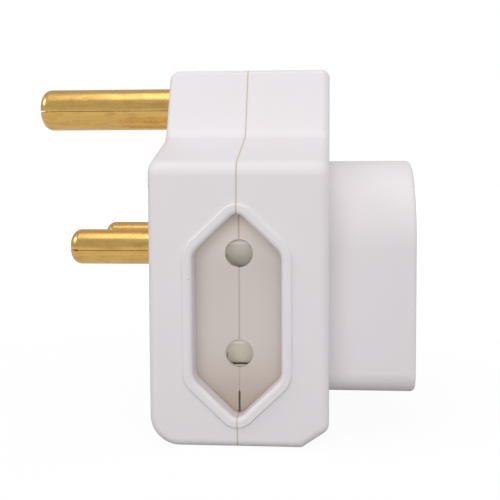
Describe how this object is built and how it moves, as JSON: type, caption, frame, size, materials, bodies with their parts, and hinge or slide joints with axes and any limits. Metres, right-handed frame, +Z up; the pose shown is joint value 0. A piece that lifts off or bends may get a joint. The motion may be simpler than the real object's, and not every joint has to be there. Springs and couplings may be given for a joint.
{
  "type": "multi socket adapter",
  "caption": "White plug-in adapter with brass round plug pins behind, a recessed two-pin socket in each side and a round-pin socket block in front.",
  "frame": {"origin": "rear mating face, midway between the live and neutral pins", "axes": "+X forwards from the mating face, +Y to the right seen from the front, +Z up"},
  "size_m": [0.0786, 0.056, 0.0722],
  "materials": {
    "white_housing": "semi-gloss moulded",
    "shutter_plastic": "matt moulded",
    "brass_pin": "drawn, lightly polished",
    "brass_strip": "rolled",
    "spring_steel": "drawn wire",
    "plated_screw": "zinc plated"
  },
  "bodies": {
    "adapter": {"contact_rivets": "brass_strip", "earth_busbar": "brass_strip", "earth_pin": "brass_pin", "front_earth_contact": "brass_strip", "front_housing": "white_housing", "front_live_contact": "brass_strip", "front_neutral_contact": "brass_strip", "housing_screws": "plated_screw", "left_live_contact": "brass_strip", "left_neutral_contact": "brass_strip", "left_shutter_guide": "shutter_plastic", "left_shutter_spring": "spring_steel", "live_busbar": "brass_strip", "live_pin": "brass_pin", "neutral_busbar": "brass_strip", "neutral_pin": "brass_pin", "rear_housing": "white_housing", "right_live_contact": "brass_strip", "right_neutral_contact": "brass_strip", "right_shutter_guide": "shutter_plastic", "right_shutter_spring": "spring_steel"},
    "right_shutter": {"right_shutter": "shutter_plastic"},
    "left_shutter": {"left_shutter": "shutter_plastic"}
  },
  "joints": [
    {"name": "right_shutter_slide", "type": "slide", "parent": "adapter", "child": "right_shutter", "axis": [0, 0, 1], "range_m": [0, 0.0058], "stiffness_N_per_m": 60, "springref_m": -0.003, "deforming": ["right_shutter_spring"]},
    {"name": "left_shutter_slide", "type": "slide", "parent": "adapter", "child": "left_shutter", "axis": [0, 0, 1], "range_m": [0, 0.0058], "stiffness_N_per_m": 60, "springref_m": -0.003, "deforming": ["left_shutter_spring"]}
  ]
}
